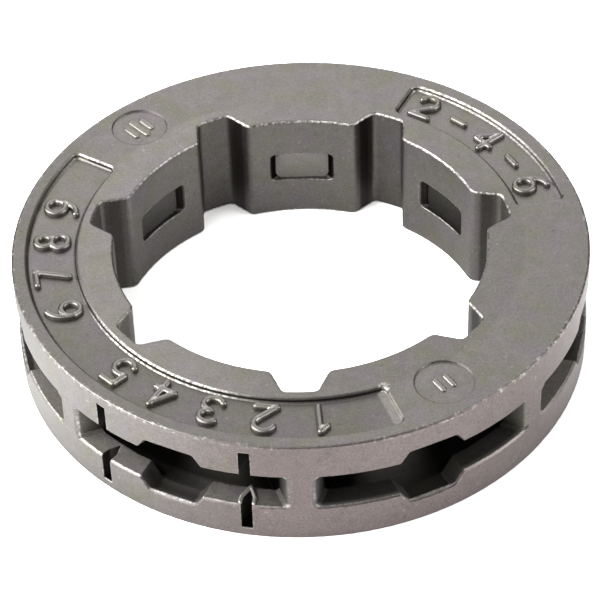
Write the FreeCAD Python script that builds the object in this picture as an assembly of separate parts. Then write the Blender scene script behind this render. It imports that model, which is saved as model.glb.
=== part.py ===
"""Seven-tooth rim sprocket for a chainsaw clutch drum: one cast steel ring.

The ring rests on its lower face, its axis is +Z and its origin is the middle of that face.
One spline groove faces -Y, and with it one drive tooth. All sizes are in millimetres and degrees.
"""
import FreeCAD, Part
import math
import os

# Ring
outer_diameter = 34.2
ring_height = 7.3
outer_edge_radius = 0.12
edge_facets = 2
tooth_count = 7

# Splined bore: lands slide on the drum's hub, grooves take its splines
bore_diameter = 22.2
groove_diameter = 25.3
groove_floor_width = 2.0
groove_flank_angle = 22.5
land_corner_radius = 0.5
groove_corner_radius = 0.4
bore_edge_chamfer = 0.1

# Chain track: a slot between two rails, closed at each tooth
slot_height = 2.38
rail_depth = 1.35
rail_back_flats = 4
tooth_tip_width = 1.5
tooth_tip_chamfer = 0.2
tooth_root_chamfer = 0.2
lip_chamfer = 0.12

# Gullets: the drive links' tangs hang in these, behind the rails
gullet_wall = 0.3
gullet_floor_width = 4.6
gullet_height = 4.5

# Six-sided chip opening through both rails at the middle of each slot
chip_opening_height = 3.85
chip_opening_flat = 2.9
chip_opening_width = 4.0
chip_opening_corner_radius = 0.25
chip_opening_flare = 0.55
chip_opening_lip = 0.2

# Window through each land
window_width = 4.05
window_height = 2.12
window_corner_radius = 0.3
window_taper = 0.75

# Wear marks: two notches across both rails of one slot
wear_slot_angle = 244.286
wear_mark_spread = 15.2
wear_mark_width = 0.66
wear_mark_depth = 1.3
wear_mark_shoulder = 0.58
wear_mark_height = 6.05

# Sunk panels and round insert marks on the upper face
panel_depth = 0.32
panel_corner_radius = 0.35
panel_foot_chamfer = 0.12
panel_edge_chamfer = 0.11
long_panel_inner_margin = 0.65
long_panel_outer_margin = 0.9
long_panel_middle = 219.7
long_panel_span = 142.2
long_panel_ramp = 0.5
long_panel_end_depth = 0.16
short_panel_inner_margin = 0.68
short_panel_outer_margin = 0.95
short_panel_middle = 37.8
short_panel_span = 51.6
insert_mark_depth = 0.1
left_mark_inner_margin = 0.39
left_mark_outer_margin = 0.66
left_mark_angle = 132.8
right_mark_inner_margin = 0.22
right_mark_outer_margin = 0.83
right_mark_angle = 303.65

# Derived sizes
outer_radius = outer_diameter / 2
land_radius = bore_diameter / 2
groove_radius = groove_diameter / 2
gullet_floor_distance = land_radius + gullet_wall
middle = ring_height / 2
pitch = 360.0 / tooth_count
overrun = 1.0
margin = 0.02
UP = FreeCAD.Vector(0, 0, 1)
ORIGIN = FreeCAD.Vector(0, 0, 0)


def point(x, y, z=0.0):
    """A point in the part's frame."""
    return FreeCAD.Vector(x, y, z)


def polar(radius, angle, z=0.0):
    """A point at a radius and an angle from +X."""
    a = math.radians(angle)
    return FreeCAD.Vector(radius * math.cos(a), radius * math.sin(a), z)


def turned(shape, angle):
    """A copy of a shape turned about the ring's axis."""
    copy = shape.copy()
    copy.rotate(ORIGIN, UP, angle)
    return copy


def arc(radius, start, end):
    """An arc about the ring's axis, at z = 0."""
    return Part.Arc(polar(radius, start), polar(radius, (start + end) / 2), polar(radius, end)).toShape()


def line(a, b):
    """A straight edge."""
    return Part.LineSegment(a, b).toShape()


def flat_face(corners):
    """A flat face with these corners."""
    return Part.Face(Part.makePolygon(corners + corners[:1]))


def prism(corners, direction):
    """A polygon pushed along a direction."""
    return flat_face(corners).extrude(direction)


def is_along(edge, direction):
    """Whether an edge is straight and runs along a direction."""
    if not isinstance(edge.Curve, Part.Line):
        return False
    return abs(edge.Curve.Direction.dot(direction)) > 0.999


def reach(edge):
    """Smallest and largest distance of an edge's ends and middle from the ring's axis."""
    places = [edge.valueAt(edge.FirstParameter), edge.valueAt(edge.LastParameter)]
    places.append(edge.valueAt((edge.FirstParameter + edge.LastParameter) / 2))
    radii = [math.hypot(p.x, p.y) for p in places]
    return min(radii), max(radii)


def lies_at_radius(edge, radius):
    """Whether an edge lies on the cylinder of that radius about the ring's axis."""
    low, high = reach(edge)
    return abs(low - radius) < 1e-3 and abs(high - radius) < 1e-3


def lies_at_height(edge, z):
    """Whether an edge lies in the plane at that height."""
    return abs(edge.BoundBox.ZMin - z) < 1e-3 and abs(edge.BoundBox.ZMax - z) < 1e-3


def groove_corner(radius):
    """Angle of a groove's flank from the groove's centre line, where it meets a radius."""
    slope = math.tan(math.radians(groove_flank_angle))
    floor = groove_radius * math.cos(math.asin(groove_floor_width / 2 / groove_radius))
    half = groove_floor_width / 2
    for _ in range(30):
        along = math.sqrt(radius ** 2 - half ** 2)
        half = groove_floor_width / 2 + (floor - along) * slope
    return math.degrees(math.asin(half / radius))


def splined_bore():
    """The solid that the lands and grooves leave open."""
    land_corner = groove_corner(land_radius)
    floor_corner = groove_corner(groove_radius)
    edges = []
    for k in range(tooth_count):
        centre = 270.0 + k * pitch
        edges.append(arc(groove_radius, centre - floor_corner, centre + floor_corner))
        following = centre + pitch
        down = polar(groove_radius, centre + floor_corner), polar(land_radius, centre + land_corner)
        up = polar(land_radius, following - land_corner), polar(groove_radius, following - floor_corner)
        edges.append(line(*down))
        edges.append(arc(land_radius, centre + land_corner, following - land_corner))
        edges.append(line(*up))
    solid = Part.Face(Part.Wire(edges)).extrude(UP * ring_height)
    upright = [e for e in solid.Edges if is_along(e, UP)]
    solid = solid.makeFillet(land_corner_radius, [e for e in upright if lies_at_radius(e, land_radius)])
    upright = [e for e in solid.Edges if is_along(e, UP)]
    return solid.makeFillet(groove_corner_radius, [e for e in upright if lies_at_radius(e, groove_radius)])


def eased(corners, picks, radius, facets):
    """A polygon in which the picked corners are rounded by a few short facets.

    Args: corners is a list of (x, z) pairs, picks the places in it to round, radius the rounding's radius.
    """
    result = []
    for k, (x, z) in enumerate(corners):
        if k not in picks:
            result.append((x, z))
            continue
        before = corners[k - 1]
        after = corners[(k + 1) % len(corners)]
        start = math.atan2(before[1] - z, before[0] - x)
        end = math.atan2(after[1] - z, after[0] - x)
        opening = (end - start + math.pi) % (2 * math.pi) - math.pi
        bisector = start + opening / 2
        far = radius / math.sin(abs(opening) / 2)
        centre = (x + far * math.cos(bisector), z + far * math.sin(bisector))
        swing = math.copysign(math.pi - abs(opening), opening)
        for step in range(facets + 1):
            angle = bisector + math.pi + swing * (0.5 - step / facets)
            result.append((centre[0] + radius * math.cos(angle), centre[1] + radius * math.sin(angle)))
    return result


def across(corners, y):
    """An outline's corners in a plane across the radius, from (x, z) pairs about mid-height."""
    return [point(x, y, middle + z) for x, z in corners]


def faceted(sections):
    """A solid with flat sides through a row of outlines that have the same number of corners."""
    faces = [flat_face(sections[0]), flat_face(sections[-1])]
    for near, far in zip(sections, sections[1:]):
        for k in range(len(near)):
            faces.append(flat_face([near[k - 1], near[k], far[k], far[k - 1]]))
    return Part.Solid(Part.Shell(faces))


def blank_ring():
    """The ring with its rounded outer edges and its splined bore, whose mouths are chamfered."""
    bend = [math.pi / 2 * k / edge_facets for k in range(edge_facets + 1)]
    core = outer_radius - outer_edge_radius
    inset = [(core + outer_edge_radius * math.sin(a), outer_edge_radius * (1 - math.cos(a))) for a in bend]
    lower = [point(r, 0, z) for r, z in inset]
    upper = [point(r, 0, ring_height - z) for r, z in reversed(inset)]
    section = [ORIGIN] + lower + upper + [point(0, 0, ring_height)]
    ring = flat_face(section).revolve(ORIGIN, UP, 360).cut(splined_bore())
    for z in (0.0, ring_height):
        mouth = [e for e in ring.Edges if lies_at_height(e, z) and reach(e)[1] < groove_radius + margin]
        ring = ring.makeChamfer(bore_edge_chamfer, mouth)
    return ring


def tooth_flank():
    """Where a tooth's flank eases off, and where it meets the outside, in the plan of a slot along +Y."""
    half_pitch = math.radians(pitch / 2)
    half_tip = tooth_tip_width / 2
    along = math.sqrt(outer_radius ** 2 - half_tip ** 2)
    tip_x = along * math.sin(half_pitch) - half_tip * math.cos(half_pitch)
    tip_y = along * math.cos(half_pitch) + half_tip * math.sin(half_pitch)
    run_x = tip_x - gullet_floor_width / 2
    run_y = tip_y - gullet_floor_distance
    share = tooth_tip_chamfer / math.hypot(run_x, run_y)
    start = (tip_x - run_x * share, tip_y - run_y * share)
    ease_x = tooth_tip_chamfer * math.cos(half_pitch)
    ease_y = tooth_tip_chamfer * math.sin(half_pitch)
    return start, (tip_x + ease_x, tip_y - ease_y)


def gullet_prism(height):
    """The space between two teeth as a block about the middle of the ring's height."""
    start, end = tooth_flank()
    half_floor = gullet_floor_width / 2
    reach_out = overrun / math.hypot(end[0] - start[0], end[1] - start[1])
    side = (end[0] + (end[0] - start[0]) * reach_out, end[1] + (end[1] - start[1]) * reach_out)
    far = (side[0], outer_radius + overrun)
    right = [(half_floor, gullet_floor_distance), start, side, far]
    left = [(-x, y) for x, y in reversed(right)]
    low = middle - height / 2
    return prism([point(x, y, low) for x, y in right + left], UP * height)


def slot_cutter():
    """The chain slot, with an eased foot where each rail meets a tooth and eased lips at the outside."""
    block = gullet_prism(slot_height)
    feet = []
    for edge in block.Edges:
        level = edge.BoundBox.ZLength < 1e-6
        slanted = edge.BoundBox.XLength > 0.05 and edge.BoundBox.YLength > 0.05
        if level and slanted:
            feet.append(edge)
    block = block.makeChamfer(tooth_root_chamfer, feet)
    near = outer_radius - lip_chamfer
    far = outer_radius + overrun
    lip = slot_height / 2
    rise = lip + lip_chamfer + overrun
    start, _ = tooth_flank()
    half_angle = math.degrees(math.atan2(start[0], start[1]))
    lips = []
    for side in (-1, 1):
        section = [point(near, 0, middle + side * lip), point(far, 0, middle + side * rise)]
        section.append(point(far, 0, middle))
        lips.append(turned(flat_face(section).revolve(ORIGIN, UP, 2 * half_angle), 90 - half_angle))
    return block.fuse(lips)


def gullet_cutter():
    """The taller space behind the rails, whose backs follow the ring in short flats."""
    start, _ = tooth_flank()
    half_floor = gullet_floor_width / 2
    back = outer_radius - rail_depth
    lean = (start[0] - half_floor) / (start[1] - gullet_floor_distance)
    y = start[1]
    for _ in range(30):
        y = math.sqrt(back ** 2 - (half_floor + (y - gullet_floor_distance) * lean) ** 2)
    half_angle = 90 - math.degrees(math.asin(y / back))
    plan = [point(-half_floor, gullet_floor_distance), point(half_floor, gullet_floor_distance)]
    for k in range(rail_back_flats + 1):
        plan.append(polar(back, 90 - half_angle + 2 * half_angle * k / rail_back_flats))
    block = prism(plan, UP * gullet_height)
    block.translate(UP * (middle - gullet_height / 2))
    return block


def chip_outline(top, grow=0.0):
    """The chip opening with a length of slot on each side, as (x, z) pairs.

    Args: top is half its height, and grow widens it evenly all round.
    """
    lip = slot_height / 2
    outer = chip_opening_width / 2
    lean = (outer - chip_opening_flat / 2) / (chip_opening_height / 2 - lip)
    inner = outer - (top - lip) * lean
    wider = grow * (math.hypot(1, lean) - lean)
    side = chip_opening_width
    upper = [(side, lip + grow), (outer + wider, lip + grow), (inner + wider, top + grow)]
    upper += [(-x, z) for x, z in reversed(upper)]
    return upper + [(-x, -z) for x, z in upper]


def chip_rim(grow, y):
    """The chip opening's outline near the outside, with its corners eased, at a distance from the axis."""
    corners = chip_outline(chip_opening_height / 2, grow)
    return across(eased(corners, (1, 2, 3, 4, 7, 8, 9, 10), chip_opening_corner_radius, 2), y)


def chip_cutter():
    """The six-sided opening: eased at the rim, then flaring up and down to the gullet's height."""
    outside = overrun / 2
    lip = outer_radius - chip_opening_lip
    rim = [chip_rim(outside + chip_opening_lip, outer_radius + outside), chip_rim(0, lip)]
    deep = chip_outline(gullet_height / 2)
    passage = [across(chip_outline(chip_opening_height / 2), lip)]
    for depth in (chip_opening_flare, rail_depth + overrun):
        passage.append(across(deep, outer_radius - depth))
    return faceted(rim).fuse(faceted(passage))


def window_outline(y):
    """The window's rounded outline, as (x, z) pairs, which is narrower further from the axis."""
    jamb = math.sqrt(land_radius ** 2 - (window_width / 2) ** 2)
    half_width = window_width / 2 - (y - jamb) * window_taper
    half_height = window_height / 2
    upper = [(half_width, half_height), (-half_width, half_height)]
    corners = upper + [(-x, -z) for x, z in upper]
    return eased(corners, (0, 1, 2, 3), window_corner_radius, 2)


def window_cutter():
    """The window from the bore into the gullet."""
    near = land_radius - overrun / 2
    far = gullet_floor_distance + overrun / 10
    return faceted([across(window_outline(near), near), across(window_outline(far), far)])


def wear_mark_cutter():
    """One wear mark: a notch with a pointed floor, running up and down past both rails' lips."""
    half = wear_mark_width / 2
    low = middle - wear_mark_height / 2
    shoulder = outer_radius - wear_mark_shoulder
    tip = outer_radius - wear_mark_depth
    far = outer_radius + overrun
    plan = [(-half, far), (-half, shoulder), (0.0, tip), (half, shoulder), (half, far)]
    return prism([point(x, y, low) for x, y in plan], UP * wear_mark_height)


def panel_cutter(inner_margin, outer_margin, centre, span):
    """A sunk panel that follows the ring outside the grooves, with rounded corners and an eased foot."""
    inner = groove_radius + inner_margin
    outer = outer_radius - outer_margin
    start = centre - span / 2
    end = centre + span / 2
    edges = [arc(outer, start, end), line(polar(outer, end), polar(inner, end))]
    edges += [arc(inner, end, start), line(polar(inner, start), polar(outer, start))]
    block = Part.Face(Part.Wire(edges)).extrude(UP * (panel_depth + overrun))
    block = block.makeFillet(panel_corner_radius, [e for e in block.Edges if is_along(e, UP)])
    block = block.makeChamfer(panel_foot_chamfer, [e for e in block.Edges if lies_at_height(e, 0.0)])
    block.translate(UP * (ring_height - panel_depth))
    return block


def panel_ramp():
    """The metal that rises from the long panel's floor toward its later end."""
    floor = ring_height - panel_depth
    rise = panel_depth - long_panel_end_depth
    slope = [point(0, -2 * long_panel_ramp, floor - rise), point(0, 0, floor + rise)]
    section = slope + [point(0, overrun, floor + rise), point(0, overrun, floor - rise)]
    return turned(prism(section, point(outer_radius, 0)), long_panel_middle + long_panel_span / 2)


def insert_mark_cutter(inner_margin, outer_margin, angle):
    """A shallow round mark in the upper face, between the grooves and the outside."""
    inner = groove_radius + inner_margin
    outer = outer_radius - outer_margin
    centre = polar((inner + outer) / 2, angle, ring_height - insert_mark_depth)
    return Part.makeCylinder((outer - inner) / 2, overrun, centre)


def rim_sprocket():
    """The whole sprocket as one solid."""
    ring = blank_ring()
    track = slot_cutter().fuse([gullet_cutter(), chip_cutter(), window_cutter()]).removeSplitter()
    ring = ring.cut([turned(track, k * pitch) for k in range(tooth_count)])
    wear_angles = [wear_slot_angle - 90 + side * wear_mark_spread for side in (-1, 1)]
    ring = ring.cut([turned(wear_mark_cutter(), angle) for angle in wear_angles])

    long_panel = panel_cutter(
        long_panel_inner_margin, long_panel_outer_margin, long_panel_middle, long_panel_span)
    short_panel = panel_cutter(
        short_panel_inner_margin, short_panel_outer_margin, short_panel_middle, short_panel_span)
    ring = ring.cut([long_panel.cut(panel_ramp()), short_panel])
    inside = groove_radius + bore_edge_chamfer + margin
    outside = outer_radius - outer_edge_radius - margin
    brims = []
    for edge in ring.Edges:
        low, high = reach(edge)
        if lies_at_height(edge, ring_height) and inside < low and high < outside:
            brims.append(edge)
    ring = ring.makeChamfer(panel_edge_chamfer, brims)

    left_mark = insert_mark_cutter(left_mark_inner_margin, left_mark_outer_margin, left_mark_angle)
    right_mark = insert_mark_cutter(right_mark_inner_margin, right_mark_outer_margin, right_mark_angle)
    return ring.cut([left_mark, right_mark])


os.makedirs("parts", exist_ok=True)
sprocket = rim_sprocket()
sprocket.Solids[0].exportStep("parts/rim_sprocket.step")
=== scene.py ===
"""Dresses a cast steel rim sprocket: finish, raised marks, studio and camera.

The ring itself is the CAD node. This script gives it its satin cast steel finish, adds the plain raised
marks that stand in its sunk panels, and sets a pale floor, soft light and the photograph's viewpoint. The
frame is that of the part, with its origin in the middle of the lower face and +Z up. Places on the ring are
in millimetres and in degrees from +X, and MM turns them into metres for meshes, lamps and camera.
"""

import logging
import math
from dataclasses import dataclass, field
from enum import Enum
from typing import Any, Optional

import bpy
import numpy as np
from mathutils import Matrix, Vector


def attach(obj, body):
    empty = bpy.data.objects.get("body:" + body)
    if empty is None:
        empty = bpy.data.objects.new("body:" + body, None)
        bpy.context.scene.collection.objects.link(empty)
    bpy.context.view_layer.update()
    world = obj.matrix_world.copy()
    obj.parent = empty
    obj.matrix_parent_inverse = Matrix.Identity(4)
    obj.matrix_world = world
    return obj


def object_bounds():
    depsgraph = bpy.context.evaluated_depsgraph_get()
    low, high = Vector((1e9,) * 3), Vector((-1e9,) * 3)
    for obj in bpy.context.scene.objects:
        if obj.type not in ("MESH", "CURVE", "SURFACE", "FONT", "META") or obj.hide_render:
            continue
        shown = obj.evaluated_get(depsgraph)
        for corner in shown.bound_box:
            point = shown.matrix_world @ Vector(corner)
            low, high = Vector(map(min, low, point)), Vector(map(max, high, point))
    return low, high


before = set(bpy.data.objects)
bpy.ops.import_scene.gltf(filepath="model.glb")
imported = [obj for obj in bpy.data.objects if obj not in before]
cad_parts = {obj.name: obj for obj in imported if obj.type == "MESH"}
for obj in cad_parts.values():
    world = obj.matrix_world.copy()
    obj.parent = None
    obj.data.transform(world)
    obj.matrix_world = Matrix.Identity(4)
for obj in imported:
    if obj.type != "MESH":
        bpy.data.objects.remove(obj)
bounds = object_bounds()

LOG = logging.getLogger("rim_sprocket")
MM = 0.001

# The ring: outside, bore, chain track, and the floors sunk into its upper face
OUTER = (bounds[1][0] - bounds[0][0]) / 2 / MM
TOP = (bounds[1][2] - bounds[0][2]) / MM
HALF = TOP / 2
LAND = 11.1
GROOVE = 12.65
TRACK_WIDTH = 2.38
RAIL_TOP = HALF - TRACK_WIDTH / 2
PANEL_FLOOR = TOP - 0.32
INSERT_FLOOR = TOP - 0.10

# Its splines, and the ends of its panels, which carry painted highlights
FRONT = 270.0
PITCH = 360 / 7
LONG_PANEL_END = 219.7 + 142.2 / 2
SHORT_PANEL_END = 37.8 - 51.6 / 2

# The wear marks on either side of the middle of the slot at the front left
FRONT_LEFT_SLOT = FRONT - PITCH / 2
WEAR_SPREAD = 15.2
WEAR_ANGLES = FRONT_LEFT_SLOT - WEAR_SPREAD, FRONT_LEFT_SLOT + WEAR_SPREAD
WEAR_DEPTH = 1.3
WEAR_STRAIGHT = 0.58
WEAR_HALF_WIDTH = 0.33


def linear(hex_colour: str) -> tuple[float, float, float, float]:
    """Turns an sRGB hex colour into linear light.

    Args:
        hex_colour: six hex digits, with or without a leading #.

    Returns:
        Red, green, blue and an alpha of 1.
    """
    digits = hex_colour.lstrip("#")
    values = np.array([int(digits[k:k + 2], 16) for k in (0, 2, 4)]) / 255
    light = np.where(values <= 0.04045, values / 12.92, ((values + 0.055) / 1.055) ** 2.4)
    return (*light.tolist(), 1.0)


def outward(azimuth: float, elevation: float) -> Vector:
    """The direction from the ring to a lamp or camera.

    Args:
        azimuth: degrees to the right of the front.
        elevation: degrees above the floor.

    Returns:
        A vector of length 1.
    """
    turn, rise = math.radians(azimuth), math.radians(elevation)
    return Vector((math.sin(turn) * math.cos(rise), -math.cos(turn) * math.cos(rise), math.sin(rise)))


def add_node(
    tree: bpy.types.NodeTree, kind: str, settings: Optional[dict[Any, Any]] = None, **links: Any
) -> bpy.types.Node:
    """Adds a node with its settings and links.

    Args:
        tree: the material's or world's node tree.
        kind: Blender's node type.
        settings: node properties by name, and input values by socket name or number.
        links: output sockets by the input they go to; an underscore stands for a space, and inN for
            socket N.

    Returns:
        The new node.
    """
    node = tree.nodes.new(kind)
    for name, value in (settings or {}).items():
        if isinstance(name, str) and hasattr(node, name):
            setattr(node, name, value)
        else:
            node.inputs[name].default_value = value
    for name, source in links.items():
        key = int(name[2:]) if name.startswith("in") and name[2:].isdigit() else name.replace("_", " ")
        tree.links.new(source, node.inputs[key])
    return node


# A value, the level at which its ramp is 0 and the level at which it is 1
Ramp = tuple[bpy.types.NodeSocket, float, float]

# How strongly a zone counts, and the ramps whose product it is
Zone = tuple[float, tuple[Ramp, ...]]


def mask(tree: bpy.types.NodeTree, *ramps: Ramp) -> bpy.types.NodeSocket:
    """Adds the nodes of a mask.

    Args:
        tree: the material's node tree.
        ramps: the values that limit the mask.

    Returns:
        A socket with the product of all the ramps.
    """
    product: Optional[bpy.types.NodeSocket] = None
    for value, none, full in ramps:
        ramp = add_node(tree, "ShaderNodeMapRange", {"From Min": none, "From Max": full}, Value=value)
        if product is not None:
            ramp = add_node(
                tree, "ShaderNodeMath", {"operation": "MULTIPLY"}, in0=product, in1=ramp.outputs[0])
        product = ramp.outputs[0]
    return product


class Wear(Enum):
    """How rubbed a surface is."""

    AS_CAST = "as cast"
    RUBBED = "rubbed"
    BARE = "bare"


@dataclass(frozen=True)
class Places:
    """Where a shaded point lies in the ring, as sockets.

    Attributes:
        point: the point in the frame of the part.
        x: its distance to the right of the axis.
        y: its distance behind the axis.
        z: its height above the lower face.
        beside: its distance to either side of the axis.
        radius: its distance from the axis.
        off: its height above or below mid-height.
        across: its distance from the nearest land's centre plane.
        normal: its surface normal.
        up: how far its surface faces up, from -1 to 1.
    """

    point: bpy.types.NodeSocket
    x: bpy.types.NodeSocket
    y: bpy.types.NodeSocket
    z: bpy.types.NodeSocket
    beside: bpy.types.NodeSocket
    radius: bpy.types.NodeSocket
    off: bpy.types.NodeSocket
    across: bpy.types.NodeSocket
    normal: bpy.types.NodeSocket
    up: bpy.types.NodeSocket

    @staticmethod
    def find(tree: bpy.types.NodeTree) -> "Places":
        """Adds the nodes that tell where a point lies.

        Args:
            tree: the material's node tree.

        Returns:
            Their sockets.
        """
        metres = add_node(tree, "ShaderNodeTexCoord").outputs["Object"]
        point = add_node(
            tree, "ShaderNodeVectorMath", {"operation": "SCALE", "Scale": 1 / MM}, in0=metres).outputs[0]
        x, y, z = add_node(tree, "ShaderNodeSeparateXYZ", Vector=point).outputs
        beside = add_node(tree, "ShaderNodeMath", {"operation": "ABSOLUTE"}, in0=x)
        plan = add_node(tree, "ShaderNodeVectorMath", {"operation": "MULTIPLY", 1: (1, 1, 0)}, in0=point)
        length = add_node(tree, "ShaderNodeVectorMath", {"operation": "LENGTH"}, in0=plan.outputs[0])
        radius = length.outputs["Value"]
        rise = add_node(tree, "ShaderNodeMath", {"operation": "SUBTRACT", 1: HALF}, in0=z)
        off = add_node(tree, "ShaderNodeMath", {"operation": "ABSOLUTE"}, in0=rise.outputs[0])

        # The angle from the nearest land's middle, and from that the distance across
        pitch, first_land = math.radians(PITCH), math.radians(FRONT + PITCH / 2)
        turn = add_node(tree, "ShaderNodeMath", {"operation": "ARCTAN2"}, in0=y, in1=x)
        from_land = add_node(
            tree, "ShaderNodeMath", {"operation": "SUBTRACT", 1: first_land}, in0=turn.outputs[0])
        swing = add_node(
            tree, "ShaderNodeMath", {"operation": "WRAP", 1: pitch / 2, 2: -pitch / 2},
            in0=from_land.outputs[0])
        sine = add_node(tree, "ShaderNodeMath", {"operation": "SINE"}, in0=swing.outputs[0])
        side = add_node(
            tree, "ShaderNodeMath", {"operation": "MULTIPLY"}, in0=sine.outputs[0], in1=radius)
        across = add_node(tree, "ShaderNodeMath", {"operation": "ABSOLUTE"}, in0=side.outputs[0])

        normal = add_node(tree, "ShaderNodeNewGeometry").outputs["Normal"]
        up = add_node(tree, "ShaderNodeSeparateXYZ", Vector=normal).outputs["Z"]
        return Places(
            point, x, y, z, beside.outputs[0], radius, off.outputs[0], across.outputs[0], normal, up)

    def outside(self) -> Ramp:
        """The ramp of the ring's outside."""
        return self.radius, OUTER - 0.10, OUTER - 0.05

    def short_of(self, tree: bpy.types.NodeTree, degrees: float) -> bpy.types.NodeSocket:
        """Adds the node that tells how far a point lies from a radius, on its side of smaller angles.

        Args:
            tree: the material's node tree.
            degrees: the radius's angle.

        Returns:
            A socket with that distance, which is negative on the side of larger angles.
        """
        a = math.radians(degrees)
        return add_node(
            tree, "ShaderNodeVectorMath", {"operation": "DOT_PRODUCT", 1: (math.sin(a), -math.cos(a), 0)},
            in0=self.point).outputs["Value"]


@dataclass(frozen=True)
class CastSteel:
    """Satin cast steel: investment cast, heat treated and tumbled.

    To the eye it is a mid grey with a fine sandy grain and soft patches that lean to green or to purple.
    Its outside is browner and, as painted shade, darker except at the left; its tumbled edges are rubbed
    pale, with painted highlights on those that face the lamps; and painted shade leaves its hollows nearly
    black.
    """

    wear: Wear = Wear.AS_CAST
    green: str = "#868479"
    purple: str = "#8b8587"
    # Browner colour of the outside, a little darker as painted shade
    warm_shaded: str = "#897f7d"
    # Pale colour of rubbed edges, and of painted highlights
    edge: str = "#e2dfd9"
    # Painted shade that fills the hollows
    scale: str = "#1f1b19"
    roughness: float = 0.44
    grain_mm: float = 0.14
    mottle_mm: float = 0.7
    patch_mm: float = 1.8
    fleck_mm: float = 0.28
    tatter_mm: float = 0.20
    bead_mm: float = 0.30
    round_mm: float = 0.12
    rub_mm: float = 0.14
    brim_mm: float = 0.12
    pit_mm: float = 0.012

    def notch(self, tree: bpy.types.NodeTree, at: Places) -> bpy.types.NodeSocket:
        """Adds the nodes that tell how far a point lies outside the nearer wear mark's side.

        A wear mark has straight sides near the outside, and further in they run to a point.

        Args:
            tree: the material's node tree.
            at: where the point lies.

        Returns:
            A socket with that distance, which is negative inside the mark.
        """
        sides = []
        for degrees in WEAR_ANGLES:
            aside = at.short_of(tree, degrees)
            sides.append(add_node(tree, "ShaderNodeMath", {"operation": "ABSOLUTE"}, in0=aside).outputs[0])
        nearer = add_node(tree, "ShaderNodeMath", {"operation": "MINIMUM"}, in0=sides[0], in1=sides[1])
        half = add_node(
            tree, "ShaderNodeMapRange",
            {"From Min": OUTER - WEAR_DEPTH, "From Max": OUTER - WEAR_STRAIGHT, "To Max": WEAR_HALF_WIDTH},
            Value=at.radius)
        return add_node(
            tree, "ShaderNodeMath", {"operation": "SUBTRACT"}, in0=nearer.outputs[0],
            in1=half.outputs[0]).outputs[0]

    def hollow_shade(self, tree: bpy.types.NodeTree, at: Places) -> bpy.types.NodeSocket:
        """Adds the nodes of painted shade in the track, in a groove or in a corner.

        Args:
            tree: the material's node tree.
            at: where the point lies.

        Returns:
            A socket that is 0 on the open faces and 1 deep inside.
        """
        # The painted shade in the track starts just behind the lands, and further out beside the grooves;
        # at the far left there is none
        start = add_node(
            tree, "ShaderNodeMapRange",
            {"From Min": 2.3, "From Max": 4.3, "To Min": LAND + 0.03, "To Max": GROOVE + 0.15},
            Value=at.across)
        past = add_node(
            tree, "ShaderNodeMath", {"operation": "SUBTRACT"}, in0=at.radius, in1=start.outputs[0])
        inside = (at.off, HALF - 0.40, HALF - 0.50)
        track = (past.outputs[0], 0.0, 0.10), inside, (at.x, -15.2, -12.7)
        steep = (at.up, 0.8, 0.3)
        level = (at.up, 0.3, 0.8)
        gullet = (at.radius, OUTER - 1.3, OUTER - 1.6)
        front = (at.y, -4.0, -6.0)
        mark = (
            (self.notch(tree, at), 0.03, -0.01), (at.radius, OUTER - 0.02, OUTER - 0.12), inside, front)
        groove = (at.radius, LAND + 0.1, LAND + 0.6)
        bent = (at.up, 0.95, 0.85)
        inner_wall = (at.radius, GROOVE + 0.5, GROOVE + 0.6)
        wall = (at.off, HALF - 0.27, HALF - 0.23), (at.off, HALF - 0.10, HALF - 0.13), bent
        # Each zone is painted shade: how dark it is, and where
        zones: tuple[Zone, ...] = (
            # The track's walls, most near the middle
            (1.0, (*track, steep, (at.radius, OUTER - 0.15, OUTER - 1.5), (at.beside, 55.0, 4.0))),
            # The gullets' floors: a little painted shade, more at the sides, and much of it deep inside at
            # the front
            (0.15, (*track, level, gullet)),
            (0.45, (*track, level, gullet, (at.beside, 4.0, 6.0))),
            (0.85, (*track, level, (at.radius, OUTER - 1.9, OUTER - 2.5), (at.y, -8.0, -10.0))),
            # The chip openings' floors in the lower rail
            (0.70, (
                *track, level, (at.radius, OUTER - 0.15, OUTER - 0.7),
                (at.radius, OUTER - 2.0, OUTER - 0.9), (at.z, RAIL_TOP - 0.05, RAIL_TOP - 0.25))),
            # All floors in the slot right of the front
            (0.82, (
                *track, level, (at.radius, OUTER - 0.08, OUTER - 0.4), (at.x, -2.0, 1.0),
                (at.x, 13.5, 12.0), (at.y, 0.0, -3.0))),
            # The right wear mark, and the left one near the outside
            (1.0, (*mark, (at.x, -9.0, -7.0))),
            (1.0, (*mark, (at.x, -7.0, -9.0), (at.radius, OUTER - 0.85, OUTER - 0.60))),
            # The grooves' flanks between their corners, least at both sides, and the grooves' floors
            (0.95, (
                groove, (at.radius, GROOVE, GROOVE - 0.5), (at.across, 3.5, 3.7),
                (at.off, HALF - 0.05, HALF - 0.15), (at.x, -25.0, 8.0), (at.x, 19.0, 8.0))),
            (0.22, (groove, (at.radius, GROOVE + 0.12, GROOVE + 0.06), (at.up, 0.5, 0.2))),
            # The panels' walls below their brims, more on the inner side than on the outer one
            (0.85, (*wall, inner_wall, (at.radius, OUTER - 1.7, OUTER - 1.9))),
            (0.45, (*wall, (at.radius, OUTER - 1.9, OUTER - 1.7), (at.radius, OUTER - 0.6, OUTER - 0.8))),
            # The long panel's inner wall at the front, from its foot up to its brim
            (0.50, (
                inner_wall, (at.radius, GROOVE + 1.2, GROOVE + 1.1), (at.off, HALF - 0.32, HALF - 0.28),
                (at.off, HALF - 0.01, HALF - 0.03), front, (at.x, -4.0, -2.0), bent)),
        )
        most: Optional[bpy.types.NodeSocket] = None
        for share, ramps in zones:
            scaled = add_node(
                tree, "ShaderNodeMath", {"operation": "MULTIPLY", 1: share}, in0=mask(tree, *ramps))
            if most is not None:
                scaled = add_node(
                    tree, "ShaderNodeMath", {"operation": "MAXIMUM"}, in0=most, in1=scaled.outputs[0])
            most = scaled.outputs[0]
        return most

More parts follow.
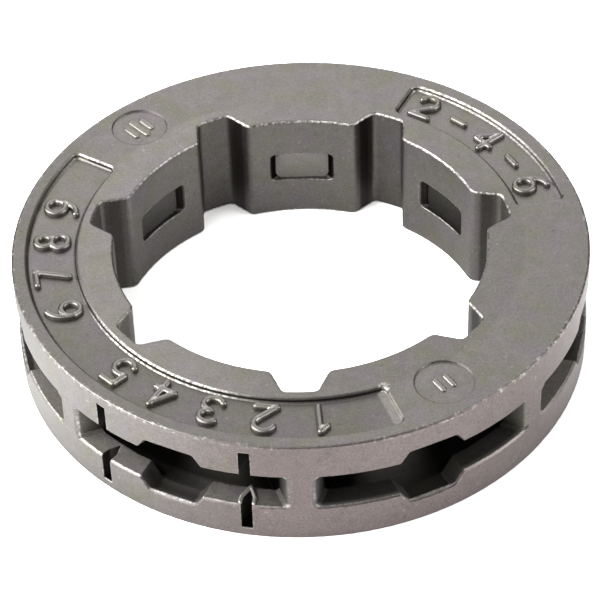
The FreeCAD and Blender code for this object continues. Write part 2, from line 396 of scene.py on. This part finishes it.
    def rub_and_highlight(self, tree: bpy.types.NodeTree, at: Places) -> bpy.types.NodeSocket:
        """Adds the nodes that tell how far tumbling has rubbed a point, and where highlights are painted.

        Args:
            tree: the material's node tree.
            at: where the point lies.

        Returns:
            A socket that is 1 on bare metal and on painted highlights, with ragged borders.
        """
        around = add_node(tree, "ShaderNodeBevel", {"samples": 6, "Radius": self.rub_mm * MM})
        turn = add_node(
            tree, "ShaderNodeVectorMath", {"operation": "DOT_PRODUCT"}, in0=around.outputs["Normal"],
            in1=at.normal)
        # Where the metal starts to be rubbed as it bends, and where it is bare; past 1 that is everywhere
        bends = {Wear.AS_CAST: (0.97, 0.82), Wear.RUBBED: (1.0, 0.94), Wear.BARE: (3.0, 2.0)}
        bend = (turn.outputs["Value"], *bends[self.wear])
        if self.wear is not Wear.AS_CAST:
            return mask(tree, bend)

        bead = add_node(
            tree, "ShaderNodeTexNoise", {"Scale": 1 / self.bead_mm, "Detail": 1.0},
            Vector=at.point).outputs["Fac"]
        tilt = add_node(tree, "ShaderNodeMath", {"operation": "ABSOLUTE"}, in0=at.up).outputs[0]
        middle = add_node(
            tree, "ShaderNodeMath", {"operation": "SUBTRACT", 1: OUTER - 3.0}, in0=at.radius).outputs[0]
        from_track = add_node(tree, "ShaderNodeMath", {"operation": "ABSOLUTE"}, in0=middle).outputs[0]
        a = math.radians(LONG_PANEL_END)
        corner = (GROOVE + 0.65) * math.cos(a), (GROOVE + 0.65) * math.sin(a), TOP
        from_corner = add_node(
            tree, "ShaderNodeVectorMath", {"operation": "DISTANCE", 1: corner},
            in0=at.point).outputs["Value"]
        end = at.short_of(tree, SHORT_PANEL_END)

        # The chamfers round both faces lie just inside them, and the panels' feet just above their floors
        chamfer = (
            (at.off, HALF - self.brim_mm - 0.03, HALF - self.brim_mm),
            (at.off, HALF - 0.003, HALF - 0.012), (tilt, 0.96, 0.90))
        foot = (at.off, HALF - 0.33, HALF - 0.31), (at.off, HALF - 0.22, HALF - 0.25), (at.up, 0.96, 0.90)
        left_stretch = (at.y, -5.5, -8.0), (at.x, -2.5, -5.0)
        right_stretch = (at.y, 2.5, 3.5), (at.x, 5.5, 6.5)
        zones: tuple[tuple[Ramp, ...], ...] = (
            # Edges away from the upper face and from the track's depths
            (bend, (at.off, HALF - 0.08, HALF - 0.20), (from_track, 1.2, 1.5)),
            # A painted glint at the inner corner at the long panel's right end
            ((from_corner, 0.40, 0.25),),
            # Beads of rubbed metal along the outer rim, fewest at the front, partly painted highlights
            ((bead, 0.46, 0.70), (at.z, TOP - 0.24, TOP - 0.12),
             (at.radius, OUTER - 0.24, OUTER - 0.12), (at.beside, -2.0, 9.0)),
            # The lips of the teeth and of the lower rail: rubbed, with painted highlights that grow to the
            # left
            ((at.radius, OUTER - 0.19, OUTER - 0.14), (at.radius, OUTER - 0.07, OUTER - 0.10),
             (at.off, HALF - 0.4, HALF - 0.5), (at.z, HALF + 0.5, HALF), (at.x, 17.0, -22.0)),
            # Round the bore: rubbed, with painted highlights, least at its left
            (*chamfer, (at.radius, GROOVE + 0.35, GROOVE + 0.25), (at.x, -18.0, -2.0)),
            # Painted highlights on the long panel's inner side, left to front, brim and foot, and left end
            (*chamfer, (at.radius, GROOVE + 1.1, GROOVE + 1.0), *left_stretch),
            (*foot, (at.radius, GROOVE + 1.3, GROOVE + 1.2), *left_stretch),
            (*chamfer, (at.radius, OUTER - 0.9, OUTER - 1.2), (at.y, 9.5, 9.0), (at.y, 5.5, 6.0),
             (at.x, -9.0, -10.0)),
            # Painted highlights on the short panel's outer side, brim and foot, and right end
            (*chamfer, (at.radius, OUTER - 0.6, OUTER - 0.7), (at.radius, OUTER - 1.4, OUTER - 1.2),
             *right_stretch, (at.x, 16.0, 10.0)),
            (*foot, (at.radius, OUTER - 1.6, OUTER - 1.4), *right_stretch, (at.x, 16.0, 8.0)),
            ((end, 0.20, 0.14), (end, -0.05, -0.02), (at.x, 8.0, 40.0), (at.off, HALF - 0.1, HALF - 0.05),
             (at.radius, GROOVE + 0.7, GROOVE + 0.9), (at.radius, OUTER - 1.0, OUTER - 1.3)),
        )
        worn_and_highlit = mask(tree, *zones[0])
        for ramps in zones[1:]:
            worn_and_highlit = add_node(
                tree, "ShaderNodeMath", {"operation": "MAXIMUM"}, in0=worn_and_highlit,
                in1=mask(tree, *ramps)).outputs[0]
        ragged = add_node(
            tree, "ShaderNodeTexNoise", {"Scale": 1 / self.tatter_mm, "Detail": 2.0}, Vector=at.point)
        return mask(tree, (worn_and_highlit, 0.0, 1.0), (ragged.outputs["Fac"], 0.42, 0.62))

    def shade(
        self, tree: bpy.types.NodeTree, at: Places, grain: bpy.types.NodeSocket
    ) -> bpy.types.NodeSocket:
        """Adds the nodes that make the metal lighter or darker: grain, tone, and painted light and shade.

        Args:
            tree: the material's node tree.
            at: where the point lies.
            grain: the fine grain's noise.

        Returns:
            A socket by which the metal's colour is multiplied.
        """
        mottle = add_node(
            tree, "ShaderNodeTexNoise", {"Scale": 1 / self.mottle_mm, "Detail": 2.0},
            Vector=at.point).outputs["Fac"]
        fleck = add_node(
            tree, "ShaderNodeTexNoise", {"Scale": 1 / self.fleck_mm, "Detail": 1.0},
            Vector=at.point).outputs["Fac"]
        face = (at.off, HALF - 0.02, HALF - 0.01)
        inner_band = (at.radius, GROOVE + 0.75, GROOVE + 0.55)
        run = at.short_of(tree, LONG_PANEL_END)
        zones: tuple[Zone, ...] = (
            # Darker: the upper face outside the long panel, and, as painted shade, round the bore at the
            # right
            (0.91, (face, (at.radius, OUTER - 1.0, OUTER - 0.85), (at.y, 13.0, 9.0), (at.x, 2.0, -3.0))),
            (0.92, (face, inner_band, (at.x, -4.0, 0.0), (at.y, 6.0, 3.0))),
            # Left of the bore the upper face is lighter
            (1.13, (face, inner_band, (at.x, -1.0, -6.0))),
            # Painted light on the ramp at the long panel's right end; the panel's floor, darker
            (1.30, (
                (run, 0.52, 0.42), (run, -0.02, 0.0), (at.z, TOP - 0.36, TOP - 0.33),
                (at.z, TOP - 0.08, TOP - 0.14), (at.y, -9.0, -10.0))),
            (0.79, (
                (at.z, TOP - 0.25, TOP - 0.30), (at.z, TOP - 0.40, TOP - 0.35), (at.up, 0.95, 0.99),
                (at.x, 8.0, 4.0), (at.y, 2.0, -10.0))),
            # Painted shade on the bore towards its foot
            (0.88, ((at.radius, GROOVE + 0.10, GROOVE + 0.03), (at.up, 0.5, 0.2), (at.z, 7.0, 1.0))),
            # Painted light on the lower rail's flat in the track
            (1.40, (
                (at.radius, OUTER - 1.45, OUTER - 1.35), (at.off, HALF - 0.4, HALF - 0.5),
                (at.z, RAIL_TOP - 0.25, RAIL_TOP - 0.05), (at.up, 0.5, 0.9))),
        )
        # Each is a value, where it starts and ends, and what it multiplies the colour by at these two
        changes = [
            (grain, 0.25, 0.75, 0.80, 1.20),
            (mottle, 0.25, 0.75, 0.93, 1.07),
            (fleck, 0.71, 0.77, 1.0, 0.65),
            (fleck, 0.29, 0.24, 1.0, 1.5),
        ]
        changes += [(mask(tree, *ramps), 0.0, 1.0, 1.0, factor) for factor, ramps in zones]
        product: Optional[bpy.types.NodeSocket] = None
        for value, low, high, at_low, at_high in changes:
            span = {"From Min": low, "From Max": high, "To Min": at_low, "To Max": at_high}
            change = add_node(tree, "ShaderNodeMapRange", span, Value=value)
            if product is not None:
                change = add_node(
                    tree, "ShaderNodeMath", {"operation": "MULTIPLY"}, in0=product, in1=change.outputs[0])
            product = change.outputs[0]
        return product

    def colour(
        self, tree: bpy.types.NodeTree, at: Places, grain: bpy.types.NodeSocket
    ) -> bpy.types.NodeSocket:
        """Adds the nodes of the metal's colour: patches, shades, rubbed edges, painted highlights and
        shade.

        Args:
            tree: the material's node tree.
            at: where the point lies.
            grain: the fine grain's noise.

        Returns:
            A socket with the colour.
        """
        patch = add_node(
            tree, "ShaderNodeTexNoise", {"Scale": 1 / self.patch_mm, "Detail": 3.0},
            Vector=at.point).outputs["Fac"]
        hue = add_node(
            tree, "ShaderNodeMix", {"data_type": "RGBA", 6: linear(self.green), 7: linear(self.purple)},
            Factor=mask(tree, (patch, 0.32, 0.68))).outputs[2]
        # The outside, except at the left, is browner and, as painted shade, a little darker
        browned_and_shaded = add_node(
            tree, "ShaderNodeMix", {"data_type": "RGBA", 7: linear(self.warm_shaded)},
            Factor=mask(tree, at.outside(), (at.x, -10.0, -2.0)), in6=hue).outputs[2]
        body = add_node(
            tree, "ShaderNodeVectorMath", {"operation": "SCALE"}, in0=browned_and_shaded,
            Scale=self.shade(tree, at, grain)).outputs[0]
        # Rubbed edges, and painted highlights, in the pale colour
        worn_and_highlit = add_node(
            tree, "ShaderNodeMix", {"data_type": "RGBA", 7: linear(self.edge)},
            Factor=self.rub_and_highlight(tree, at), in6=body).outputs[2]
        if self.wear is not Wear.AS_CAST:
            return worn_and_highlit
        # Painted shade in the hollows, nearly black
        return add_node(
            tree, "ShaderNodeMix", {"data_type": "RGBA", 7: linear(self.scale)},
            Factor=self.hollow_shade(tree, at), in6=worn_and_highlit).outputs[2]

    def dullness(
        self, tree: bpy.types.NodeTree, at: Places, grain: bpy.types.NodeSocket
    ) -> bpy.types.NodeSocket:
        """Adds the nodes of the roughness: less on the outside, more on the rails' flats in the track.

        Args:
            tree: the material's node tree.
            at: where the point lies.
            grain: the fine grain's noise.

        Returns:
            A socket with the roughness.
        """
        plain = add_node(
            tree, "ShaderNodeMapRange", {"To Min": self.roughness - 0.06, "To Max": self.roughness + 0.06},
            Value=grain)
        smooth = add_node(
            tree, "ShaderNodeMath", {"operation": "MULTIPLY_ADD", 1: -0.14},
            in0=mask(tree, at.outside()), in2=plain.outputs[0])
        flat = mask(
            tree, (at.radius, OUTER - 1.45, OUTER - 1.35), (at.radius, OUTER - 0.1, OUTER - 0.3),
            (at.off, HALF - 0.4, HALF - 0.5))
        return add_node(
            tree, "ShaderNodeMath", {"operation": "MULTIPLY_ADD", 1: 0.3}, in0=flat,
            in2=smooth.outputs[0]).outputs[0]

    def build(self) -> bpy.types.Material:
        """Makes the material.

        Returns:
            The material, ready for a slot.
        """
        material = bpy.data.materials.new("satin cast steel, " + self.wear.value)
        material.use_nodes = True
        tree = material.node_tree
        tree.nodes.clear()
        at = Places.find(tree)
        grain = add_node(
            tree, "ShaderNodeTexNoise", {"Scale": 1 / self.grain_mm, "Detail": 3.0},
            Vector=at.point).outputs["Fac"]
        rounded = add_node(tree, "ShaderNodeBevel", {"samples": 6, "Radius": self.round_mm * MM})
        bump = add_node(
            tree, "ShaderNodeBump", {"Strength": 0.4, "Distance": self.pit_mm * MM},
            Height=grain, Normal=rounded.outputs["Normal"])
        shader = add_node(
            tree, "ShaderNodeBsdfPrincipled", {"Metallic": 1.0}, Base_Color=self.colour(tree, at, grain),
            Roughness=self.dullness(tree, at, grain), Normal=bump.outputs["Normal"])
        add_node(tree, "ShaderNodeOutputMaterial", Surface=shader.outputs["BSDF"])
        return material


@dataclass
class Ring:
    """The ring itself: the CAD node, with its finish on every slot."""

    node: str = "rim_sprocket"
    finish: CastSteel = field(default_factory=CastSteel)

    def dress(self) -> bpy.types.Object:
        """Puts the finish on the CAD node.

        Returns:
            The node's object.
        """
        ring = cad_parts[self.node]
        material = self.finish.build()
        for place in ring.material_slots:
            place.material = material
        LOG.info("%s: %s", self.node, material.name)
        return ring


@dataclass(frozen=True)
class Surface:
    """A closed mesh as arrays: points by row, and quads and caps by point number."""

    points: np.ndarray
    quads: np.ndarray
    caps: tuple[np.ndarray, ...] = ()

    def at(self, radius: float, degrees: float, height: float) -> "Surface":
        """Puts a mark in its place on the ring.

        Args:
            radius: distance from the ring's axis, in metres.
            degrees: the mark's angle.
            height: level of the floor on which the mark stands, in metres.

        Returns:
            The surface with its y axis turned outward along the radius.
        """
        a = math.radians(degrees)
        out = np.array([math.cos(a), math.sin(a), 0.0])
        beside = np.array([math.sin(a), -math.cos(a), 0.0])
        x, y, z = self.points.T
        points = np.outer(x, beside) + np.outer(y + radius, out) + np.outer(z + height, [0.0, 0.0, 1.0])
        return Surface(points, self.quads, self.caps)


@dataclass(frozen=True)
class Stroke:
    """The middle line of one raised stroke in the plane of its mark, open or closed, in metres."""

    path: np.ndarray
    closed: bool = False

    @staticmethod
    def straight(start: tuple[float, float], end: tuple[float, float]) -> "Stroke":
        """A straight stroke, whose points lie at even shares of the way.

        Args:
            start: its first point in millimetres.
            end: its last point in millimetres.

        Returns:
            The stroke.
        """
        share = np.linspace(0, 1, 7)[:, None]
        first, last = np.array([start, end]) * MM
        return Stroke(first + (last - first) * share)

    @staticmethod
    def bow(centre: tuple[float, float], radii: tuple[float, float], start: float, end: float) -> "Stroke":
        """Part of an ellipse.

        At angle t from start to end, a point is centre + (first radius x cos t, second radius x sin t). A
        full turn closes the stroke.

        Args:
            centre: the ellipse's centre in millimetres.
            radii: its half width and half height in millimetres.
            start: first angle in degrees.
            end: last angle in degrees.

        Returns:
            The stroke.
        """
        whole = abs(end - start) >= 360
        t = np.radians(np.linspace(start, end, 36 if whole else 22, endpoint=not whole))
        path = np.array(centre) + np.stack([np.cos(t), np.sin(t)], -1) * np.array(radii)
        return Stroke(path * MM, whole)

    def turned(self) -> "Stroke":
        """The stroke after half a turn."""
        return Stroke(-self.path, self.closed)


@dataclass(frozen=True)
class Bead:
    """The section of raised strokes: flat-topped, with rounded shoulders and a foot sunk in the floor.

    An open end is rounded in a few steps through end_turn degrees, where a flat cap closes it.
    """

    width: float = 0.40 * MM
    height: float = 0.29 * MM
    shoulder: float = 0.15 * MM
    sunk: float = 0.02 * MM
    steps_across: int = 11
    end_steps: int = 4
    end_turn: float = 80.0

    def along(self, stroke: Stroke) -> Surface:
        """Carries the section along a stroke.

        A point at u from -1 to 1 lies u x half the width to the right of the stroke. Its height is that of
        the flat top, less shoulder - root(shoulder squared - s squared), where s is how far it lies in the
        shoulder. Past an open end the bead goes on as a half circle, where distances are measured from the
        end itself.

        Args:
            stroke: the middle line.

        Returns:
            The closed bead.
        """
        half = self.width / 2
        path = stroke.path
        if stroke.closed:
            ahead = np.roll(path, -1, 0) - np.roll(path, 1, 0)
        else:
            ahead = np.gradient(path, axis=0)
        ahead = ahead / np.linalg.norm(ahead, axis=1)[:, None]
        past = np.zeros(len(path))
        if not stroke.closed:
            turn = np.linspace(0, math.radians(self.end_turn), self.end_steps + 1)
            out = half * np.sin(turn)[1:]
            before = path[0] - out[::-1, None] * ahead[0]
            after = path[-1] + out[:, None] * ahead[-1]
            path = np.concatenate([before, path, after])
            ahead = np.pad(ahead, ((self.end_steps, self.end_steps), (0, 0)), mode="edge")
            past = np.concatenate([out[::-1], past, out])
        u = np.sin(np.linspace(-math.pi / 2, math.pi / 2, self.steps_across))
        offset = np.sqrt(half ** 2 - past ** 2)[:, None] * u
        depth = np.clip(np.hypot(offset, past[:, None]) - half + self.shoulder, 0, self.shoulder)
        top = self.height - self.shoulder + np.sqrt(self.shoulder ** 2 - depth ** 2)
        offset = np.pad(offset, ((0, 0), (1, 1)), mode="edge")
        level = np.pad(top, ((0, 0), (1, 1)), constant_values=-self.sunk)
        right = np.stack([ahead[:, 1], -ahead[:, 0]], -1)
        plan = path[:, None, :] + offset[..., None] * right[:, None, :]
        points = np.concatenate([plan, level[..., None]], -1)

        rows, n = offset.shape
        j, k = np.meshgrid(np.arange(rows if stroke.closed else rows - 1), np.arange(n), indexing="ij")
        onward = (j + 1) % rows
        over = (k + 1) % n
        quads = np.stack([j * n + k, j * n + over, onward * n + over, onward * n + k], -1).reshape(-1, 4)
        ends = () if stroke.closed else (np.arange(n)[::-1], (rows - 1) * n + np.arange(n))
        return Surface(points.reshape(-1, 3), quads, ends)


def numerals() -> dict[int, tuple[Stroke, ...]]:
    """Draws the plain numerals, about 1.2 mm wide and 1.9 mm high between the middles of their strokes.

    Returns:
        The strokes of each numeral from 1 to 9.
    """
    straight, bow = Stroke.straight, Stroke.bow
    top, foot = 0.95, -0.95
    head_of_1 = (0.05, top)
    crook_of_2, heel_of_2 = bow((0.0, 0.40), (0.56, 0.55), 165, -35), (-0.58, foot)
    apex_of_4, elbow_of_4 = (0.22, top), (-0.60, -0.38)
    corner_of_5, waist_of_5 = (-0.42, top), (-0.48, 0.10)
    six = bow((0.0, -0.39), (0.56, 0.56), 0, 360), bow((0.42, -0.39), (0.98, 1.34), 95, 180)
    corner_of_7 = (0.58, top)
    return {
        1: (straight((-0.35, 0.55), head_of_1), straight(head_of_1, (0.05, foot))),
        2: (
            crook_of_2, straight(tuple(crook_of_2.path[-1] / MM), heel_of_2),
            straight(heel_of_2, (0.60, foot))),
        3: (bow((0.0, 0.48), (0.50, 0.47), 150, -90), bow((0.0, -0.47), (0.56, 0.48), 90, -150)),
        4: (
            straight(apex_of_4, (0.22, foot)), straight(apex_of_4, elbow_of_4),
            straight(elbow_of_4, (0.60, -0.38))),
        5: (
            straight((0.50, top), corner_of_5), straight(corner_of_5, waist_of_5),
            bow((0.0, -0.38), (0.58, 0.57), 124, -145)),
        6: six,
        7: (straight((-0.58, top), corner_of_7), straight(corner_of_7, (-0.15, foot))),
        8: (bow((0.0, 0.48), (0.46, 0.47), 0, 360), bow((0.0, -0.46), (0.56, 0.49), 0, 360)),
        9: tuple(stroke.turned() for stroke in six),
    }


@dataclass(frozen=True)
class Mark:
    """Raised strokes at one angle and radius."""

    strokes: tuple[Stroke, ...]
    degrees: float
    radius: float


@dataclass
class MarkRow:
    """A row of raised marks on one floor of the ring, as one piece."""

    name: str
    floor: float
    marks: tuple[Mark, ...]
    bead: Bead = field(default_factory=Bead)

    def build(self, finish: bpy.types.Material) -> bpy.types.Object:
        """Makes the row's mesh and its object.

        Args:
            finish: the material of the marks.

        Returns:
            The object, which rides on the ring.
        """
        parts = [
            self.bead.along(stroke).at(mark.radius * MM, mark.degrees, self.floor * MM)
            for mark in self.marks for stroke in mark.strokes]
        starts = np.cumsum([0] + [len(part.points) for part in parts])
        faces: list[list[int]] = []
        for start, part in zip(starts, parts):
            faces += (part.quads + start).tolist()
            faces += [(cap + start).tolist() for cap in part.caps]
        mesh = bpy.data.meshes.new(self.name)
        mesh.from_pydata(np.concatenate([part.points for part in parts]).tolist(), [], faces)
        mesh.shade_smooth()
        mesh.materials.append(finish)
        row = bpy.data.objects.new(self.name, mesh)
        bpy.context.scene.collection.objects.link(row)
        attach(row, "root")
        LOG.info("%s: %d marks, %d faces", self.name, len(self.marks), len(mesh.polygons))
        return row


@dataclass
class RaisedMarks:
    """Plain numbers and bars, as on a dial, in the panels and on the insert marks, and a wear mark's burr.

    Radii, and the half width of the burr, are in millimetres, and angles and steps in degrees.
    """

    rubbed: CastSteel = field(default_factory=lambda: CastSteel(wear=Wear.RUBBED, roughness=0.34))
    # Pale all over, for the burr: bare metal, partly painted highlight
    bare: CastSteel = field(default_factory=lambda: CastSteel(wear=Wear.BARE, roughness=0.34))
    numbers: dict[int, tuple[Stroke, ...]] = field(default_factory=numerals)
    panel_radius: float = 14.75
    long_row_start: float = 274.4
    long_row_step: float = 12.0
    short_row_start: float = 57.8
    short_row_step: float = 9.6
    left_angle: float = 132.8
    left_radius: float = 14.74
    right_angle: float = 303.65
    right_radius: float = 14.57
    burr_radius: float = 16.3
    burr_side: float = WEAR_HALF_WIDTH + 0.06

    def long_row(self) -> MarkRow:
        """The numbers 1 to 5 and 6 to 9 along the long panel, with one place left free between them.

        Returns:
            The row.
        """
        places = {digit: digit - 1 if digit < 6 else digit for digit in range(1, 10)}
        marks = [
            Mark(self.numbers[digit], self.long_row_start - self.long_row_step * place, self.panel_radius)
            for digit, place in places.items()]
        return MarkRow("long_panel_marks", PANEL_FLOOR, tuple(marks))

    def short_row(self) -> MarkRow:
        """The numbers 2, 4 and 6 along the short panel, with a bar between them.

        Returns:
            The row.
        """
        bar = (Stroke.straight((-0.45, 0.0), (0.45, 0.0)),)
        signs = self.numbers[2], bar, self.numbers[4], bar, self.numbers[6]
        marks = [
            Mark(sign, self.short_row_start - self.short_row_step * place, self.panel_radius)
            for place, sign in enumerate(signs)]
        return MarkRow("short_panel_marks", PANEL_FLOOR, tuple(marks))

    def left_insert(self) -> MarkRow:
        """Three bars side by side on the left insert mark.

        Returns:
            The row.
        """
        bead = Bead(height=0.095 * MM, shoulder=0.08 * MM, width=0.42 * MM)
        half_lengths = {-0.6: 0.45, 0.0: 0.75, 0.6: 0.45}
        bars = tuple(Stroke.straight((x, -half), (x, half)) for x, half in half_lengths.items())
        mark = Mark(bars, self.left_angle, self.left_radius)
        return MarkRow("left_insert_marks", INSERT_FLOOR, (mark,), bead)

    def right_insert(self) -> MarkRow:
        """Two short bars on the right insert mark.

        Returns:
            The row.
        """
        bead = Bead(height=0.095 * MM, shoulder=0.08 * MM, width=0.36 * MM)
        bars = tuple(Stroke.straight((x, -0.4), (x, 0.4)) for x in (-0.35, 0.35))
        mark = Mark(bars, self.right_angle, self.right_radius)
        return MarkRow("right_insert_marks", INSERT_FLOOR, (mark,), bead)

    def burr(self) -> MarkRow:
        """A pointed arch of thrown-up metal round the right-hand wear mark, on the lower rail's flat.

        Returns:
            The row.
        """
        bead = Bead(height=0.15 * MM, shoulder=0.10 * MM, width=0.21 * MM)
        side = self.burr_side
        corners = (-side, 0.62), (-side, 0.18), (0.0, -0.66), (side, 0.18), (side, 0.62)
        arch = tuple(Stroke.straight(start, end) for start, end in zip(corners, corners[1:]))
        mark = Mark(arch, WEAR_ANGLES[1], self.burr_radius)
        return MarkRow("wear_mark_burr", RAIL_TOP, (mark,), bead)

    def build(self) -> list[bpy.types.Object]:
        """Makes all the rows.

        Returns:
            Their objects.
        """
        rubbed, bare = self.rubbed.build(), self.bare.build()
        rows = self.long_row(), self.short_row(), self.left_insert(), self.right_insert()
        return [row.build(rubbed) for row in rows] + [self.burr().build(bare)]


@dataclass(frozen=True)
class Viewpoint:
    """The photograph's camera, solved from the ring's outlines."""

    azimuth: float = 1.44
    elevation: float = 42.90
    roll: float = -2.003
    distance: float = 165.19 * MM
    aim_right: float = -0.136 * MM
    aim_up: float = 1.793 * MM
    lens: float = 162.45
    sensor: float = 36.0

    def build(self) -> bpy.types.Object:
        """Makes the camera and gives it to the scene.

        Returns:
            The camera's object.
        """
        turn, tilt = math.radians(self.azimuth), math.radians(self.roll)
        right = Vector((math.cos(turn), math.sin(turn), 0))
        back = outward(self.azimuth, self.elevation)
        up = back.cross(right)
        across = math.cos(tilt) * right + math.sin(tilt) * up
        upward = math.cos(tilt) * up - math.sin(tilt) * right
        data = bpy.data.cameras.new("viewpoint")
        data.lens = self.lens
        data.sensor_width = self.sensor
        data.clip_start = 10 * MM
        camera = bpy.data.objects.new("viewpoint", data)
        bpy.context.scene.collection.objects.link(camera)
        place = right * self.aim_right + up * self.aim_up + back * self.distance
        axes = Matrix((across, upward, back)).transposed()
        camera.matrix_world = Matrix.Translation(place) @ axes.to_4x4()
        bpy.context.scene.camera = camera
        LOG.info("camera: %.0f mm lens", self.lens)
        return camera


@dataclass(frozen=True)
class SoftBox:
    """A square soft light that looks at the ring, with its power in watts and its sizes in metres."""

    name: str
    azimuth: float
    elevation: float
    power: float
    side: float = 0.30
    distance: float = 0.45

    def build(self) -> bpy.types.Object:
        """Makes the lamp.

        Returns:
            The lamp's object.
        """
        data = bpy.data.lights.new(self.name, "AREA")
        data.shape = "SQUARE"
        data.size = self.side
        data.energy = self.power
        lamp = bpy.data.objects.new(self.name, data)
        bpy.context.scene.collection.objects.link(lamp)
        back = outward(self.azimuth, self.elevation)
        turned = back.to_track_quat("Z", "Y").to_matrix().to_4x4()
        lamp.matrix_world = Matrix.Translation(back * self.distance) @ turned
        return lamp


@dataclass(frozen=True)
class PaintedGlow:
    """A painted reflection on the floor: its strength, and where in x and in y it starts and is full."""

    strength: float
    x: tuple[float, float]
    y: tuple[float, float]


@dataclass(frozen=True)
class WhitePaper:
    """Matt white paper under the ring.

    The camera sees it brighter than the ring does, as in a photograph exposed for dark metal, so to the eye
    it is white with a faint shadow. Beside the ring it gives off a painted reflection that only the ring's
    reflections see, and inside the bore it lies in shade.
    """

    tone: float = 0.9
    exposure_seen: float = 3.0
    plain_painted_glow: float = 0.08
    painted_glows: tuple[PaintedGlow, ...] = (
        PaintedGlow(0.75, x=(-5.0, -19.0), y=(3.0, -7.0)),
        PaintedGlow(0.80, x=(12.0, 18.0), y=(-11.0, 3.0)),
        PaintedGlow(0.22, x=(2.0, 14.0), y=(-2.0, -12.0)),
    )
    shade_border: float = 1.0

    def build(self) -> bpy.types.Material:
        """Makes the material.

        Returns:
            The material, for the floor alone.
        """
        material = bpy.data.materials.new("white paper floor")
        material.use_nodes = True
        tree = material.node_tree
        tree.nodes.clear()
        ray = add_node(tree, "ShaderNodeLightPath").outputs
        seen = add_node(
            tree, "ShaderNodeMapRange", {"To Min": self.tone, "To Max": self.tone * self.exposure_seen},
            Value=ray["Is Camera Ray"])
        matt = add_node(tree, "ShaderNodeBsdfDiffuse", Color=seen.outputs[0])
        place = add_node(tree, "ShaderNodeTexCoord").outputs["Object"]
        away = add_node(tree, "ShaderNodeVectorMath", {"operation": "LENGTH"}, in0=place).outputs["Value"]
        x, y, _ = add_node(tree, "ShaderNodeSeparateXYZ", Vector=place).outputs
        # Painted reflection: light that only glossy rays see, strongest in these stretches and none under
        # the ring
        links: dict[str, bpy.types.NodeSocket] = {}
        for glow in self.painted_glows:
            (x_start, x_full), (y_start, y_full) = glow.x, glow.y
            stretch = mask(tree, (x, x_start * MM, x_full * MM), (y, y_start * MM, y_full * MM))
            strength = add_node(
                tree, "ShaderNodeMath",
                {"operation": "MULTIPLY_ADD", 1: glow.strength, 2: self.plain_painted_glow}, in0=stretch, **links)
            links = {"in2": strength.outputs[0]}
        lit = (away, (OUTER - self.shade_border) * MM, (OUTER + self.shade_border) * MM)
        mirrored = add_node(
            tree, "ShaderNodeMath", {"operation": "MULTIPLY"},
            in0=mask(tree, lit, (ray["Is Glossy Ray"], 0.0, 1.0)), in1=strength.outputs[0])
        light = add_node(tree, "ShaderNodeEmission", Strength=mirrored.outputs[0])
        bright = add_node(tree, "ShaderNodeAddShader", in0=matt.outputs[0], in1=light.outputs[0])
        add_node(tree, "ShaderNodeOutputMaterial", Surface=bright.outputs[0])
        return material


@dataclass
class Studio:
    """Pale floor, soft surroundings and soft boxes."""

    floor_side: float = 3.0
    paper: WhitePaper = field(default_factory=WhitePaper)
    ambient: float = 0.05
    boxes: tuple[SoftBox, ...] = (
        SoftBox("key, left", -85.0, 42.0, power=0.46, side=0.16, distance=0.22),
        SoftBox("key, front left", -45.0, 42.0, power=0.62),
        SoftBox("low, left", -95.0, 18.0, power=0.10, side=0.14, distance=0.22),
        SoftBox("front", 0.0, 45.0, power=0.10),
        SoftBox("right", 85.0, 40.0, power=0.85),
        SoftBox("back", -174.0, 42.0, power=0.43),
        SoftBox("low, back", 180.0, 15.0, power=0.15),
        SoftBox("top", 0.0, 89.9, power=0.18),
    )

    def floor(self) -> bpy.types.Object:
        """Makes the floor, a square plane.

        Returns:
            The floor's object.
        """
        half = self.floor_side / 2
        corners = [(-half, -half, 0), (half, -half, 0), (half, half, 0), (-half, half, 0)]
        mesh = bpy.data.meshes.new("floor")
        mesh.from_pydata(corners, [], [(0, 1, 2, 3)])
        mesh.materials.append(self.paper.build())
        floor = bpy.data.objects.new("floor", mesh)
        bpy.context.scene.collection.objects.link(floor)
        return floor

    def world(self) -> bpy.types.World:
        """Makes the surroundings: soft white light.

        Returns:
            The world.
        """
        world = bpy.data.worlds.new("soft surroundings")
        world.use_nodes = True
        tree = world.node_tree
        tree.nodes.clear()
        air = add_node(tree, "ShaderNodeBackground", {"Color": (1, 1, 1, 1), "Strength": self.ambient})
        add_node(tree, "ShaderNodeOutputWorld", Surface=air.outputs["Background"])
        bpy.context.scene.world = world
        return world

    def build(self) -> None:
        """Sets up floor, surroundings, lamps and view transform."""
        self.floor()
        self.world()
        for box in self.boxes:
            box.build()
        bpy.context.scene.view_settings.view_transform = "Standard"
        LOG.info("studio: %d soft boxes", len(self.boxes))


def main() -> None:
    """Builds the pieces in order."""
    logging.basicConfig(level=logging.INFO)
    Viewpoint().build()
    Studio().build()
    Ring().dress()
    RaisedMarks().build()


if __name__ == "__main__":
    main()
